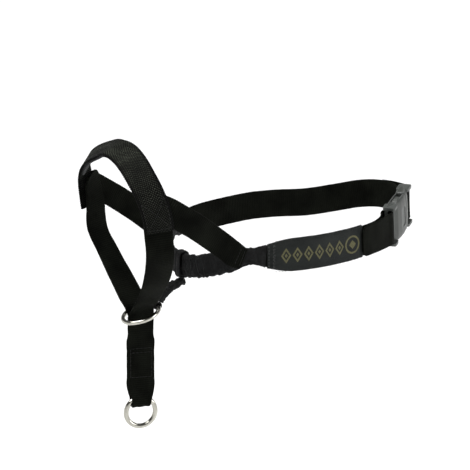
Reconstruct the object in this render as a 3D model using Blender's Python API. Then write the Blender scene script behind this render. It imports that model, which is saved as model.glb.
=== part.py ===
"""Head halter for a large dog: noseband, cheek straps, neck loop, chin ring and lead tab.

Frame: origin at the middle of the nose bridge lining's inner face, where the halter
rests on the muzzle. The dog faces -Y, +X is the dog's left, +Z is up. Sizes are in
millimetres in the constants and are turned into metres when a mesh is made.
"""

import math

import bmesh
import bpy
import numpy as np

MM = 0.001

# Webbing
NOSE_WIDTH = 22.0
STRAND_WIDTH = 20.6
CHEEK_WIDTH = 20.0
NECK_WIDTH = 25.0
BAR_WIDTH = 28.0
WEB_THICK = 1.6
LAYER_GAP = 0.3
LINING_WIDTH = 19.5
LINING_THICK = 2.2

# Neck loop: the left half of its middle line, from the throat round to the nape
NECK_LINE = [
    (50.5, 78.5, -82.8),
    (56.6, 85.3, -82.7),
    (63.0, 95.5, -82.7),
    (70.7, 113.2, -82.4),
    (75.2, 129.0, -81.9),
    (78.4, 157.0, -80.6),
    (77.0, 179.5, -79.3),
    (69.6, 201.0, -78.6),
    (54.6, 220.8, -77.2),
    (39.3, 242.5, -73.0),
    (25.4, 261.6, -69.0),
    (13.0, 268.4, -67.4),
    (0.0, 270.4, -67.0),
]

# Rings
SLIP_RING_MEAN_R = 14.75
SLIP_RING_WIRE_R = 1.75
SLIP_RING_CENTRE = (0.0, 19.9, -131.8)
SLIP_RING_NORMAL = (0.0, 0.32, -0.95)
LEAD_RING_MEAN_R = 12.0
LEAD_RING_WIRE_R = 2.0

# Lead tab, turned a little about the vertical
TAB_W = (0.276, 0.961, 0.0)
TAB_N = (0.961, -0.276, 0.0)
TAB_HINGE = (0.0, 19.2, -152.0)
TAB_HALF_GAP = 1.2
TAB_FOLD = (0.0, 18.2, -203.6)
TAB_FOLD_R = 4.8
TAB_FOLD_WIDTH = 15.0

# Side-release buckle, in its own frame: u along, w across, h outwards
BUCKLE_ROW = 9
BUCKLE_LIFT = 5.6
BUCKLE_RISE = 0.21
BAR_U = 24.0
BAR_H = -2.6
BAR_WRAP_R = 3.8
SLOT_HALF_W = 14.7
LATCH_PIVOT_U = 8.9
LATCH_PIVOT_W = 10.7
LATCH_HALF_H = 2.2
GUIDE_HALF_W = 3.0
LUG_W = (14.9, 17.1)
LUG_H = (-4.9, 4.5)

# Free ends of the webbing beyond the bars: distance from the buckle's centre, lift and width
TAIL_LEFT = [
    (31.5, 8.2, 27.6),
    (38.5, 6.0, 27.2),
    (45.5, 4.3, 26.7),
    (53.0, 3.2, 26.2),
    (62.0, 2.8, 25.6),
    (70.0, 3.1, 25.2),
    (77.0, 3.2, 25.0),
]
TAIL_RIGHT = [(31.5, 8.2, 27.4), (38.5, 6.0, 26.7), (45.5, 4.3, 26.0), (53.0, 3.2, 25.5), (60.0, 2.6, 25.0)]

# Name sleeve: distance along the neck loop and width, gathered at the throat end
NAME_WIDTHS = [(22.5, 19.6), (27.0, 21.6), (33.0, 24.4), (40.0, 26.4), (48.0, 27.0)]

# Throat sleeve and link
THROAT_THICK = 6.0
THROAT_WIDTH = 18.0
ELASTIC_WIDTH = 10.0
ELASTIC_THICK = 1.4
LINK_WIDTH = 9.0
LINK_THICK = 5.5

COLOURS = {
    "webbing": (0.018, 0.019, 0.019, 1.0),
    "ribbed_webbing": (0.045, 0.047, 0.048, 1.0),
    "lining": (0.03, 0.03, 0.032, 1.0),
    "elastic": (0.06, 0.06, 0.062, 1.0),
    "sleeve_fabric": (0.022, 0.023, 0.023, 1.0),
    "label": (0.035, 0.042, 0.048, 1.0),
    "buckle_plastic": (0.19, 0.2, 0.21, 1.0),
    "chrome": (0.78, 0.79, 0.8, 1.0),
}
METALS = {"chrome"}


def clear_scene():
    """Remove every object, so that the script starts from nothing."""
    for obj in list(bpy.data.objects):
        bpy.data.objects.remove(obj, do_unlink=True)


def make_materials():
    """One Principled material per slot."""
    made = {}
    for slot, colour in COLOURS.items():
        mat = bpy.data.materials.new(slot)
        mat.use_nodes = True
        shader = mat.node_tree.nodes["Principled BSDF"]
        shader.inputs["Base Color"].default_value = colour
        shader.inputs["Roughness"].default_value = 0.2 if slot in METALS else 0.6
        shader.inputs["Metallic"].default_value = 1.0 if slot in METALS else 0.0
        mat.diffuse_color = colour
        made[slot] = mat
    return made


def vec(*values):
    return np.array(values, float)


def unit(v):
    v = np.asarray(v, float)
    return v / np.linalg.norm(v)


def spline(rows, per):
    """A smooth curve through the rows, with per steps in each span."""
    rows = np.asarray(rows, float)
    steps = np.linalg.norm(np.diff(rows[:, :3], axis=0), axis=1)
    at = np.concatenate([[0.0], np.cumsum(steps)])
    slope = np.zeros_like(rows)
    for i in range(1, len(rows) - 1):
        before = (rows[i] - rows[i - 1]) / steps[i - 1]
        after = (rows[i + 1] - rows[i]) / steps[i]
        slope[i] = (before * steps[i] + after * steps[i - 1]) / (steps[i] + steps[i - 1])
    slope[0] = 1.5 * (rows[1] - rows[0]) / steps[0] - 0.5 * slope[1]
    slope[-1] = 1.5 * (rows[-1] - rows[-2]) / steps[-1] - 0.5 * slope[-2]
    out = []
    for i, length in enumerate(steps):
        for k in range(per):
            s = k / per
            out.append(
                (2 * s**3 - 3 * s**2 + 1) * rows[i]
                + (s**3 - 2 * s**2 + s) * length * slope[i]
                + (3 * s**2 - 2 * s**3) * rows[i + 1]
                + (s**3 - s**2) * length * slope[i + 1]
            )
    out.append(rows[-1])
    return np.array(out), at


def frames(curve, closed=False):
    """Point, width direction and outward direction at each row of a sampled curve."""
    points = curve[:, :3]
    if closed:
        ahead = np.roll(points, -1, axis=0) - np.roll(points, 1, axis=0)
    else:
        ahead = np.gradient(points, axis=0)
    ahead = ahead / np.linalg.norm(ahead, axis=1)[:, None]
    wide = curve[:, 3:6]
    wide = wide - np.sum(wide * ahead, axis=1)[:, None] * ahead
    wide = wide / np.linalg.norm(wide, axis=1)[:, None]
    out = np.cross(ahead, wide)
    return points + out * curve[:, 6:7], wide, out


def section(half_w, half_h):
    """A flat strap's outline with its corners cut."""
    cut = min(0.45 * half_h, 0.45 * half_w)
    a, b = half_w, half_h
    return [
        (a, -b + cut),
        (a, b - cut),
        (a - cut, b),
        (-a + cut, b),
        (-a, b - cut),
        (-a, -b + cut),
        (-a + cut, -b),
        (a - cut, -b),
    ]


def finish(bm, name, slot):
    """Turn a bmesh in millimetres into an object in metres."""
    bmesh.ops.recalc_face_normals(bm, faces=bm.faces)
    if bm.calc_volume(signed=True) < 0:
        bmesh.ops.reverse_faces(bm, faces=bm.faces)
    bmesh.ops.scale(bm, vec=(MM, MM, MM), verts=bm.verts)
    mesh = bpy.data.meshes.new(name)
    bm.to_mesh(mesh)
    bm.free()
    mesh.materials.append(MATERIALS[slot])
    obj = bpy.data.objects.new(name, mesh)
    PARTS.objects.link(obj)
    return obj


def strip(name, slot, curve, thick, hole=None, closed=False, ripple=0.0):
    """A strap along a sampled curve, solid, or hollow when hole gives its inner size.

    A negative inner width is taken off the strap's own width.
    """
    middle, wide, out = frames(curve, closed)
    width = curve[:, 7]
    bm = bmesh.new()
    count = len(middle)

    def loop(i, half_w, half_h):
        return [bm.verts.new(middle[i] + a * wide[i] + b * out[i]) for a, b in section(half_w, half_h)]

    def opening(i):
        return hole[0] if hole[0] > 0 else width[i] + hole[0]

    outer = []
    inner = []
    for i in range(count):
        wave = ripple * (1 if i % 2 else -1)
        outer.append(loop(i, width[i] / 2 + wave, thick / 2 + 0.6 * wave))
        if hole:
            inner.append(loop(i, opening(i) / 2, hole[1] / 2))
    corners = len(outer[0])
    for i in range(count if closed else count - 1):
        nxt = (i + 1) % count
        for k in range(corners):
            m = (k + 1) % corners
            bm.faces.new([outer[i][k], outer[i][m], outer[nxt][m], outer[nxt][k]])
            if hole:
                bm.faces.new([inner[i][m], inner[i][k], inner[nxt][k], inner[nxt][m]])
    if not closed:
        for i in (0, count - 1):
            if hole:
                for k in range(corners):
                    m = (k + 1) % corners
                    bm.faces.new([outer[i][k], outer[i][m], inner[i][m], inner[i][k]])
            else:
                bm.faces.new(outer[i])
    return finish(bm, name, slot)


def mirrored(source, name):
    """The same part on the other side of the head."""
    bm = bmesh.new()
    bm.from_mesh(source.data)
    for vert in bm.verts:
        vert.co.x = -vert.co.x
    bmesh.ops.scale(bm, vec=(1 / MM, 1 / MM, 1 / MM), verts=bm.verts)
    return finish(bm, name, source.data.materials[0].name)


def ring(name, slot, centre, normal, mean_r, wire_r, around=48, across=12):
    """A round wire ring."""
    normal = unit(normal)
    side = unit(np.cross(normal, (0.0, 0.0, 1.0) if abs(normal[2]) < 0.9 else (1.0, 0.0, 0.0)))
    other = np.cross(normal, side)
    bm = bmesh.new()
    loops = []
    for i in range(around):
        a = 2 * math.pi * i / around
        spoke = math.cos(a) * side + math.sin(a) * other
        loops.append([])
        for k in range(across):
            b = 2 * math.pi * k / across
            point = vec(*centre) + spoke * (mean_r + wire_r * math.cos(b))
            loops[-1].append(bm.verts.new(point + normal * wire_r * math.sin(b)))
    for i in range(around):
        nxt = (i + 1) % around
        for k in range(across):
            m = (k + 1) % across
            bm.faces.new([loops[i][k], loops[nxt][k], loops[nxt][m], loops[i][m]])
    return finish(bm, name, slot)


# Noseband ---------------------------------------------------------------

# Strap's middle surface on the left side, with its width direction, from bridge to joint
BRIDGE = [
    (0.0, -1.42, 2.97, 0.0, 0.9, 0.43, 0.0, NOSE_WIDTH),
    (9.0, -0.6, 1.9, 0.12, 0.88, 0.46, 0.0, NOSE_WIDTH),
    (17.5, -0.3, -0.7, 0.27, 0.84, 0.47, 0.0, NOSE_WIDTH),
    (27.0, -1.2, -4.2, 0.33, 0.81, 0.49, 0.0, NOSE_WIDTH),
    (35.0, -2.2, -8.0, 0.38, 0.77, 0.51, 0.0, NOSE_WIDTH),
    (43.0, -2.4, -13.8, 0.42, 0.72, 0.55, 0.0, NOSE_WIDTH),
    (48.5, -1.4, -20.0, 0.46, 0.7, 0.55, 0.0, NOSE_WIDTH),
    (52.6, 1.2, -30.0, 0.47, 0.78, 0.4, 0.0, NOSE_WIDTH),
    (54.2, 4.3, -43.0, 0.42, 0.86, 0.3, 0.0, NOSE_WIDTH),
    (53.6, 6.0, -53.0, 0.36, 0.9, 0.24, 0.0, NOSE_WIDTH),
]

# Side strap from under the joint down to the ring
SIDE = [
    (50.4, -0.4, -24.0, 0.47, 0.73, 0.49, -6.3, NOSE_WIDTH),
    (53.1, 2.0, -33.0, 0.47, 0.8, 0.38, -6.3, NOSE_WIDTH),
    (54.2, 4.6, -44.5, 0.42, 0.86, 0.3, -6.0, NOSE_WIDTH),
    (53.5, 6.2, -54.2, 0.35, 0.91, 0.22, -5.4, NOSE_WIDTH),
    (52.1, 7.4, -61.8, 0.3, 0.94, 0.12, -3.2, NOSE_WIDTH),
    (49.7, 8.8, -70.1, 0.27, 0.96, 0.02, -1.0, NOSE_WIDTH),
    (46.5, 10.3, -76.6, 0.27, 0.96, -0.03, -0.1, NOSE_WIDTH),
    (41.8, 12.3, -84.1, 0.26, 0.96, 0.0, 0.0, NOSE_WIDTH),
    (32.2, 15.1, -97.9, 0.23, 0.97, 0.08, 0.0, NOSE_WIDTH),
    (21.5, 17.0, -110.1, 0.14, 0.98, 0.11, 0.0, NOSE_WIDTH),
    (11.5, 18.1, -120.6, 0.11, 0.99, 0.12, 0.0, NOSE_WIDTH),
    (4.6, 18.5, -127.2, 0.09, 0.99, 0.1, 0.0, STRAND_WIDTH),
]

# Height and half gap of the two strands between the ring and the tab's hinge
STRANDS = [(-133.0, 2.0), (-139.0, 1.3), (-145.0, TAB_HALF_GAP), (-150.0, TAB_HALF_GAP)]

# Cheek strap from under the noseband joint back to the throat sleeve
CHEEK = [
    (54.2, 3.5, -33.4, 0.26, 0.39, 0.88, -3.5, CHEEK_WIDTH),
    (58.4, 11.6, -37.6, 0.26, 0.39, 0.88, -3.5, CHEEK_WIDTH),
    (59.4, 22.3, -43.8, 0.15, 0.43, 0.88, -2.2, CHEEK_WIDTH),
    (57.9, 36.5, -52.9, 0.03, 0.48, 0.87, -0.4, CHEEK_WIDTH),
    (56.8, 49.5, -62.3, 0.0, 0.5, 0.86, 0.0, CHEEK_WIDTH),
    (57.2, 61.5, -71.6, -0.05, 0.48, 0.87, 0.0, CHEEK_WIDTH),
    (56.6, 70.5, -78.9, -0.08, 0.4, 0.9, 1.0, CHEEK_WIDTH),
    (56.0, 77.5, -83.4, -0.1, 0.3, 0.95, 2.6, 17.0),
]


def across_head(left):
    """Rows from the right side over the middle to the left side."""
    right = []
    for row in reversed(left[1:]):
        x, y, z, a, b, c, off, width = row
        right.append((-x, y, z, -a, b, c, off, width))
    return right + list(left)


def odd_middle(curve):
    """Drop the sample on the mid-plane, so that a flat face lies across it."""
    return np.delete(curve, len(curve) // 2, axis=0)


def tab_row(gap, z, width=NOSE_WIDTH):
    """A row beside the tab's middle line, at a height and a distance from its mid-plane."""
    share = (z - TAB_HINGE[2]) / (TAB_FOLD[2] - TAB_HINGE[2])
    middle = TAB_HINGE[1] + share * (TAB_FOLD[1] - TAB_HINGE[1])
    return (gap * TAB_N[0], middle + gap * TAB_N[1], z, *TAB_W, 0.0, width)


def build_noseband():
    """Bridge strap and its lining, side straps and cheek straps."""
    curve, _ = spline(across_head(BRIDGE), 3)
    strip("nose_bridge_strap", "ribbed_webbing", odd_middle(curve), WEB_THICK)
    pad = curve[11:-11].copy()
    pad[:, 6] = -(WEB_THICK + LINING_THICK) / 2 - LAYER_GAP
    pad[:, 7] = LINING_WIDTH
    strip("nose_bridge_lining", "lining", odd_middle(pad), LINING_THICK)
    for sign, side in ((1, "left"), (-1, "right")):
        rows = [(sign * x, y, z, sign * a, b, c, sign * off, width) for x, y, z, a, b, c, off, width in SIDE]
        rows += [tab_row(sign * gap, z, STRAND_WIDTH) for z, gap in STRANDS]
        curve, _ = spline(rows, 3)
        strip("side_strap_" + side, "webbing", curve, WEB_THICK)
    curve, _ = spline(CHEEK, 3)
    left = strip("cheek_strap_left", "webbing", curve, WEB_THICK)
    mirrored(left, "cheek_strap_right")


# Neck loop --------------------------------------------------------------


def whole_neck():
    """The neck loop's middle line sampled finely, with the distance along it."""
    rows = list(NECK_LINE) + [(-x, y, z) for x, y, z in reversed(NECK_LINE[:-1])]
    line, _ = spline(rows, 12)
    steps = np.linalg.norm(np.diff(line, axis=0), axis=1)
    return line, np.concatenate([[0.0], np.cumsum(steps)])


NECK_POINTS, NECK_AT = whole_neck()
BUCKLE_AT = NECK_AT[BUCKLE_ROW * 12]
NECK_LENGTH = NECK_AT[-1]


def neck(at, off=0.0):
    """A point of the neck loop's middle surface, moved outwards by off."""
    point = vec(*[np.interp(at, NECK_AT, NECK_POINTS[:, k]) for k in range(3)])
    fore = vec(*[np.interp(at + 4, NECK_AT, NECK_POINTS[:, k]) for k in range(3)])
    back = vec(*[np.interp(at - 4, NECK_AT, NECK_POINTS[:, k]) for k in range(3)])
    along = unit(fore - back)
    return point + unit((along[1], -along[0], 0.0)) * off


def neck_row(at, off=0.0, width=NECK_WIDTH):
    return (*neck(at, off), 0.0, -0.065, 1.0, 0.0, width)


def neck_rows(first, last, steps, off=0.0, width=NECK_WIDTH):
    """Rows along the neck loop between two distances from its left end."""
    rows = []
    for i in range(steps + 1):
        rows.append(neck_row(first + (last - first) * i / steps, off, width))
    return rows


BUCKLE_V = unit(neck(BUCKLE_AT + 12.0) - neck(BUCKLE_AT - 12.0)) * vec(1, 1, 0)
BUCKLE_N = unit((BUCKLE_V[1], -BUCKLE_V[0], 0.0))
BUCKLE_V = unit(unit(BUCKLE_V) + vec(0, 0, BUCKLE_RISE))
BUCKLE_W = unit(np.cross(BUCKLE_N, BUCKLE_V))
BUCKLE_O = neck(BUCKLE_AT, BUCKLE_LIFT)


def at_buckle(u, w, h):
    """A point given in the buckle's own frame."""
    return BUCKLE_O + u * BUCKLE_V + w * BUCKLE_W + h * BUCKLE_N


def wrap_row(u, h, width=BAR_WIDTH):
    return (*at_buckle(u, 0.0, h), *BUCKLE_W, 0.0, width)


def wrap_rows(sign):
    """The webbing's way round the bar at the socket (-1) or at the plug (+1)."""
    rows = []
    for k in range(7):
        a = math.radians(-90 + 30 * k)
        u = sign * (BAR_U - BAR_WRAP_R * math.cos(a))
        rows.append(wrap_row(u, BAR_H + BAR_WRAP_R * math.sin(a)))
    return rows


def build_neck():
    """Both neck straps, the name sleeve and the plug's web loop."""
    rows = [neck_row(21.0, 0.0, 17.0)]
    rows += [neck_row(at, 0.0, width - 2.0) for at, width in NAME_WIDTHS]
    rows += neck_rows(60.0, BUCKLE_AT - 35.0, 9)
    rows += wrap_rows(-1)
    rows += [neck_row(BUCKLE_AT - at, off, width) for at, off, width in TAIL_LEFT]
    curve, _ = spline(rows, 3)
    strip("neck_strap_left", "webbing", curve, WEB_THICK)
    rows = [neck_row(at, 0.0, width) for at, width in NAME_WIDTHS]
    rows += neck_rows(60.0, BUCKLE_AT - 75.0, 5, width=27.0)
    curve, _ = spline(rows, 3)
    strip("name_sleeve", "label", curve, 3.4, hole=(-1.3, 2.3))
    rows = neck_rows(BUCKLE_AT + 30.0, NECK_LENGTH - 48.0, 20)
    rows += [neck_row(NECK_LENGTH - at, 0.0, width - 2.0) for at, width in reversed(NAME_WIDTHS[:-1])]
    rows.append(neck_row(NECK_LENGTH - 21.0, 0.0, 17.0))
    curve, _ = spline(rows, 3)
    strip("neck_strap_right", "webbing", curve, WEB_THICK)
    rows = [wrap_row(BAR_U + 3.0, BAR_H - BAR_WRAP_R - 0.3)]
    rows += wrap_rows(1)
    rows += [neck_row(BUCKLE_AT + at, off, width) for at, off, width in TAIL_RIGHT]
    curve, _ = spline(rows, 3)
    strip("plug_web_loop", "webbing", curve, WEB_THICK)


# Buckle -----------------------------------------------------------------


def shell(name, slot, rows, around=20):
    """A rounded body through sections (u, half width, middle height, half height)."""
    bm = bmesh.new()
    loops = []
    for u, half_w, mid, half_h in rows:
        loops.append([])
        for k in range(around):
            a = 2 * math.pi * (k + 0.5) / around
            c, s = math.cos(a), math.sin(a)
            w = half_w * math.copysign(abs(c) ** 0.35, c)
            h = mid + half_h * math.copysign(abs(s) ** 0.55, s)
            loops[-1].append(bm.verts.new(at_buckle(u, w, h)))
    for i in range(len(loops) - 1):
        for k in range(around):
            m = (k + 1) % around
            bm.faces.new([loops[i][k], loops[i][m], loops[i + 1][m], loops[i + 1][k]])
    bm.faces.new(loops[0])
    bm.faces.new(loops[-1])
    return finish(bm, name, slot)


def prism(name, slot, outline, low, high):
    """A plate in the buckle's frame, cut to an outline of (u, w) points."""
    bm = bmesh.new()
    bottom = [bm.verts.new(at_buckle(u, w, low)) for u, w in outline]
    top = [bm.verts.new(at_buckle(u, w, high)) for u, w in outline]
    for k in range(len(outline)):
        m = (k + 1) % len(outline)
        bm.faces.new([bottom[k], bottom[m], top[m], top[k]])
    bm.faces.new(bottom)
    bm.faces.new(top)
    return finish(bm, name, slot)


def box(name, low, high):
    """A box in the buckle's frame between two corners."""
    outline = [(low[0], low[1]), (high[0], low[1]), (high[0], high[1]), (low[0], high[1])]
    return prism(name, "buckle_plastic", outline, low[2], high[2])


def combine(obj, tool, operation):
    """Cut or join one solid with another, exactly."""
    mod = obj.modifiers.new(tool.name, "BOOLEAN")
    mod.operation = operation
    mod.solver = "EXACT"
    mod.object = tool
    for owner in list(tool.users_collection):
        owner.objects.unlink(tool)
    CUTTERS.objects.link(tool)
    tool.hide_render = True
    tool.display_type = "WIRE"


def add_lugs(obj, near, far):
    """Full-height cheeks at both ends of a webbing bar."""
    for sign, side in ((1, "upper"), (-1, "lower")):
        low, high = sorted((sign * LUG_W[0], sign * LUG_W[1]))
        combine(obj, box(obj.name + "_lug_" + side, (near, low, LUG_H[0]), (far, high, LUG_H[1])), "UNION")


def build_buckle():
    """Socket with open sides, plug with its guide, and the two latch arms."""
    socket = shell(
        "buckle_socket",
        "buckle_plastic",
        [
            (-26.0, 16.2, -2.8, 1.4),
            (-25.2, 17.0, -2.7, 1.6),
            (-22.2, 17.5, -2.4, 1.6),
            (-18.4, 17.9, -1.7, 3.2),
            (-14.0, 18.2, -0.9, 4.7),
            (-7.0, 18.2, -0.3, 5.4),
            (0.0, 18.1, 0.0, 5.6),
            (4.6, 17.8, 0.0, 5.4),
            (5.7, 17.2, 0.0, 4.9),
        ],
    )
    combine(socket, box("socket_slot", (-22.0, -SLOT_HALF_W, -9.0), (-18.6, SLOT_HALF_W, 7.0)), "DIFFERENCE")
    combine(socket, box("socket_mouth", (-13.0, -19.0, -2.6), (8.0, 19.0, 2.6)), "DIFFERENCE")
    add_lugs(socket, -25.6, -17.0)
    plug = shell(
        "buckle_plug",
        "buckle_plastic",
        [
            (6.0, 17.2, 0.0, 4.9),
            (7.2, 17.8, 0.0, 5.3),
            (12.0, 18.0, -0.6, 5.2),
            (16.5, 17.9, -1.4, 4.2),
            (18.4, 17.8, -1.8, 3.0),
            (22.2, 17.4, -2.4, 1.6),
            (25.2, 16.8, -2.7, 1.6),
            (26.0, 16.0, -2.8, 1.4),
        ],
    )
    combine(plug, box("plug_slot", (18.6, -SLOT_HALF_W, -9.0), (22.0, SLOT_HALF_W, 7.0)), "DIFFERENCE")
    for sign, side in ((1, "upper"), (-1, "lower")):
        low, high = sorted((sign * 7.7, sign * 13.9))
        combine(plug, box("pocket_" + side, (5.0, low, -2.6), (11.9, high, 2.6)), "DIFFERENCE")
    guide = box("guide", (-9.0, -GUIDE_HALF_W, -2.2), (8.0, GUIDE_HALF_W, 2.2))
    combine(plug, guide, "UNION")
    add_lugs(plug, 15.5, 25.6)
    outline = [
        (11.0, 9.6),
        (11.3, 10.7),
        (11.0, 11.8),
        (10.2, 12.4),
        (5.4, 12.4),
        (3.4, 14.6),
        (1.6, 15.6),
        (-8.4, 15.6),
        (-10.6, 14.6),
        (-11.8, 12.4),
        (-11.8, 10.4),
        (-9.0, 9.2),
        (0.0, 9.6),
        (6.0, 9.2),
        (10.2, 9.0),
    ]
    for sign, side in ((1, "upper"), (-1, "lower")):
        turned = [(u, sign * w) for u, w in outline]
        arm = prism("latch_arm_" + side, "buckle_plastic", turned, -LATCH_HALF_H, LATCH_HALF_H)
        pivot = at_buckle(LATCH_PIVOT_U, sign * LATCH_PIVOT_W, 0.0) * MM
        for vert in arm.data.vertices:
            vert.co = [vert.co[k] - pivot[k] for k in range(3)]
        arm.location = pivot


# Throat sleeve, link and chin ring ---------------------------------------

THROAT = [
    (0.0, 58.5, -97.1, 0.0, 0.05, 1.0, 0.0, THROAT_WIDTH),
    (15.0, 59.5, -95.9, 0.0, 0.05, 1.0, 0.0, THROAT_WIDTH),
    (29.0, 63.5, -92.6, 0.0, 0.05, 1.0, 0.0, THROAT_WIDTH),
    (41.0, 70.0, -88.6, 0.0, 0.03, 1.0, 0.0, THROAT_WIDTH),
    (50.0, 78.0, -84.6, 0.0, 0.0, 1.0, 0.0, 17.0),
    (55.5, 85.0, -83.0, 0.0, -0.04, 1.0, 0.0, 13.0),
    (58.4, 88.9, -82.6, 0.0, -0.06, 1.0, 0.0, 14.5),
    (60.4, 91.9, -82.5, 0.0, -0.065, 1.0, 0.0, 16.5),
]

# Middle line of the link from the chin ring's loop to the throat loop, on the mid-plane
LINK = [(36.2, -124.4), (39.2, -120.6), (43.3, -117.2), (48.0, -114.4), (53.0, -112.7), (58.5, -112.1)]


def build_throat():
    """Gathered sleeve with its elastic, and the loop that hangs the link on it."""
    curve, _ = spline(across_head(THROAT), 4)
    strip("throat_sleeve", "sleeve_fabric", curve, THROAT_THICK, hole=(11.4, 3.0), ripple=0.45)
    rows = list(THROAT)
    rows.append(neck_row(20.3, -2.2))
    rows.append(neck_row(27.0, -3.0))
    rows = [row[:7] + (ELASTIC_WIDTH,) for row in rows]
    curve, _ = spline(across_head(rows), 3)
    strip("throat_elastic", "elastic", curve, ELASTIC_THICK)
    loop = []
    half_w = THROAT_WIDTH / 2 + 2.1
    half_h = THROAT_THICK / 2 + 2.4
    for k in range(24):
        a = 2 * math.pi * k / 24
        c, s = math.cos(a), math.sin(a)
        y = THROAT[0][1] + half_h * math.copysign(abs(c) ** 0.5, c)
        z = THROAT[0][2] + half_w * math.copysign(abs(s) ** 0.5, s)
        loop.append((0.0, y, z, 1.0, 0.0, 0.0, 0.0, LINK_WIDTH - 1.0))
    strip("link_throat_loop", "sleeve_fabric", np.array(loop), 1.4, closed=True)


def build_chin():
    """Chin ring, the link's loop on it, and the link between ring and throat."""
    centre = vec(*SLIP_RING_CENTRE)
    normal = unit(SLIP_RING_NORMAL)
    back = np.cross(vec(1, 0, 0), normal)
    ring("slip_ring", "chrome", centre, normal, SLIP_RING_MEAN_R, SLIP_RING_WIRE_R)
    wire = centre + back * SLIP_RING_MEAN_R
    loop = []
    for k in range(16):
        a = 2 * math.pi * k / 16
        point = wire - back * 0.3 + 2.9 * (math.cos(a) * back - math.sin(a) * normal)
        loop.append((*point, 1.0, 0.0, 0.0, 0.0, LINK_WIDTH))
    strip("link_ring_loop", "sleeve_fabric", np.array(loop), 1.0, closed=True)
    rows = [(0.0, y, z, -1.0, 0.0, 0.0, 0.0, LINK_WIDTH) for y, z in LINK]
    curve, _ = spline(rows, 3)
    strip("link_sleeve", "sleeve_fabric", curve, LINK_THICK, hole=(6.0, 2.4), ripple=0.3)
    rows = [row[:7] + (5.0,) for row in rows]
    curve, _ = spline(rows, 3)
    strip("link_elastic", "elastic", curve, ELASTIC_THICK)


def build_lead():
    """Folded lead tab and the lead ring that hangs in its fold."""
    top = TAB_HINGE[2] - 1.0
    fold = TAB_FOLD[2]
    side = [
        (TAB_HALF_GAP, top, NOSE_WIDTH),
        (TAB_HALF_GAP, top - 10.0, NOSE_WIDTH),
        (TAB_HALF_GAP, top - 20.0, NOSE_WIDTH),
        (TAB_HALF_GAP + 0.2, top - 30.0, NOSE_WIDTH),
        (2.6, fold + 13.0, NOSE_WIDTH - 0.8),
        (4.3, fold + 6.0, NOSE_WIDTH - 3.5),
    ]
    bend = []
    for k in range(7):
        a = math.pi * k / 6
        bend.append((TAB_FOLD_R * math.cos(a), fold - TAB_FOLD_R * math.sin(a), TAB_FOLD_WIDTH))
    path = side + bend + [(-gap, z, width) for gap, z, width in reversed(side)]
    curve, _ = spline([tab_row(*row) for row in path], 2)
    tab = strip("lead_tab", "webbing", curve, WEB_THICK)
    centre = (TAB_FOLD[0], TAB_FOLD[1], fold + 1.6 - LEAD_RING_MEAN_R)
    lead = ring("lead_ring", "chrome", centre, TAB_N, LEAD_RING_MEAN_R, LEAD_RING_WIRE_R)
    for obj, at in ((tab, TAB_HINGE), (lead, TAB_FOLD)):
        for vert in obj.data.vertices:
            vert.co = [vert.co[k] - at[k] * MM for k in range(3)]
        obj.location = [at[k] * MM for k in range(3)]


clear_scene()
MATERIALS = make_materials()
PARTS = bpy.data.collections.new("head_halter")
CUTTERS = bpy.data.collections.new("cutters")
for group in (PARTS, CUTTERS):
    bpy.context.scene.collection.children.link(group)
build_noseband()
build_neck()
build_buckle()
build_throat()
build_chin()
build_lead()
CUTTERS.hide_render = True
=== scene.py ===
"""Looks of the head halter: webbing, gathered sleeves, name sleeve, buckle, rings and stitching.

Lengths are in millimetres in the tables and are turned into metres when a mesh is made.
The straps' routes are those of the CAD part, in the same frame: the dog faces -Y, +X is the
dog's left, +Z is up, and the origin is the middle of the nose bridge lining's inner face.
"""

from math import copysign, cos, hypot, pi, radians, sin

import bmesh
import bpy
import numpy as np
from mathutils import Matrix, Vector


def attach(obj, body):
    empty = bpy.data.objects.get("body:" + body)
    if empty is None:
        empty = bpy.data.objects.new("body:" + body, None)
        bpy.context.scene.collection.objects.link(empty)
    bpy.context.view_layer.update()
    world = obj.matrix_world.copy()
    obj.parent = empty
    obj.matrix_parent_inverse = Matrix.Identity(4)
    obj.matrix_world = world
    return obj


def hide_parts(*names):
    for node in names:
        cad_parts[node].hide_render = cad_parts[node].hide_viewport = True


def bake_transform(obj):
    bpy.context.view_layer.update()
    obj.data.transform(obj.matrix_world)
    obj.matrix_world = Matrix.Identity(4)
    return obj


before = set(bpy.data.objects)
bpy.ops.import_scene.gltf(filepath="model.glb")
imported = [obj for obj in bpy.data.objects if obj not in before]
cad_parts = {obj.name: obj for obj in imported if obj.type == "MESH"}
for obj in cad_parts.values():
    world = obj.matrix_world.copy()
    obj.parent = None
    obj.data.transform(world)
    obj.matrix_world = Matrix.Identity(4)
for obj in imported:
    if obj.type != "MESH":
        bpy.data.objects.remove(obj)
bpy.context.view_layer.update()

SCENE = bpy.context.scene
MM = 0.001
SPLINE_STEPS = 12

# Webbing
NOSE_WIDTH = 22.0
STRAND_WIDTH = 20.6
CHEEK_WIDTH = 20.0
NECK_WIDTH = 25.0
BAR_WIDTH = 28.0
WEB_THICK = 1.6
LAYER_GAP = 0.3
LINING_WIDTH = 19.5
LINING_THICK = 2.2
RIB_PITCH = 2.1
RIB_SLOPE = 1.05
RIB_STRIPE = 5.5
WARP_PITCH = 1.0
THREAD_RISE = WEB_THICK / 2 + 0.1

# Neck loop: the left half of its middle line, from the throat round to the nape
NECK_LINE = [
    (50.5, 78.5, -82.8), (56.6, 85.3, -82.7), (63.0, 95.5, -82.7), (70.7, 113.2, -82.4),
    (75.2, 129.0, -81.9), (78.4, 157.0, -80.6), (77.0, 179.5, -79.3), (69.6, 201.0, -78.6),
    (54.6, 220.8, -77.2), (39.3, 242.5, -73.0), (25.4, 261.6, -69.0), (13.0, 268.4, -67.4),
    (0.0, 270.4, -67.0),
]

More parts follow.
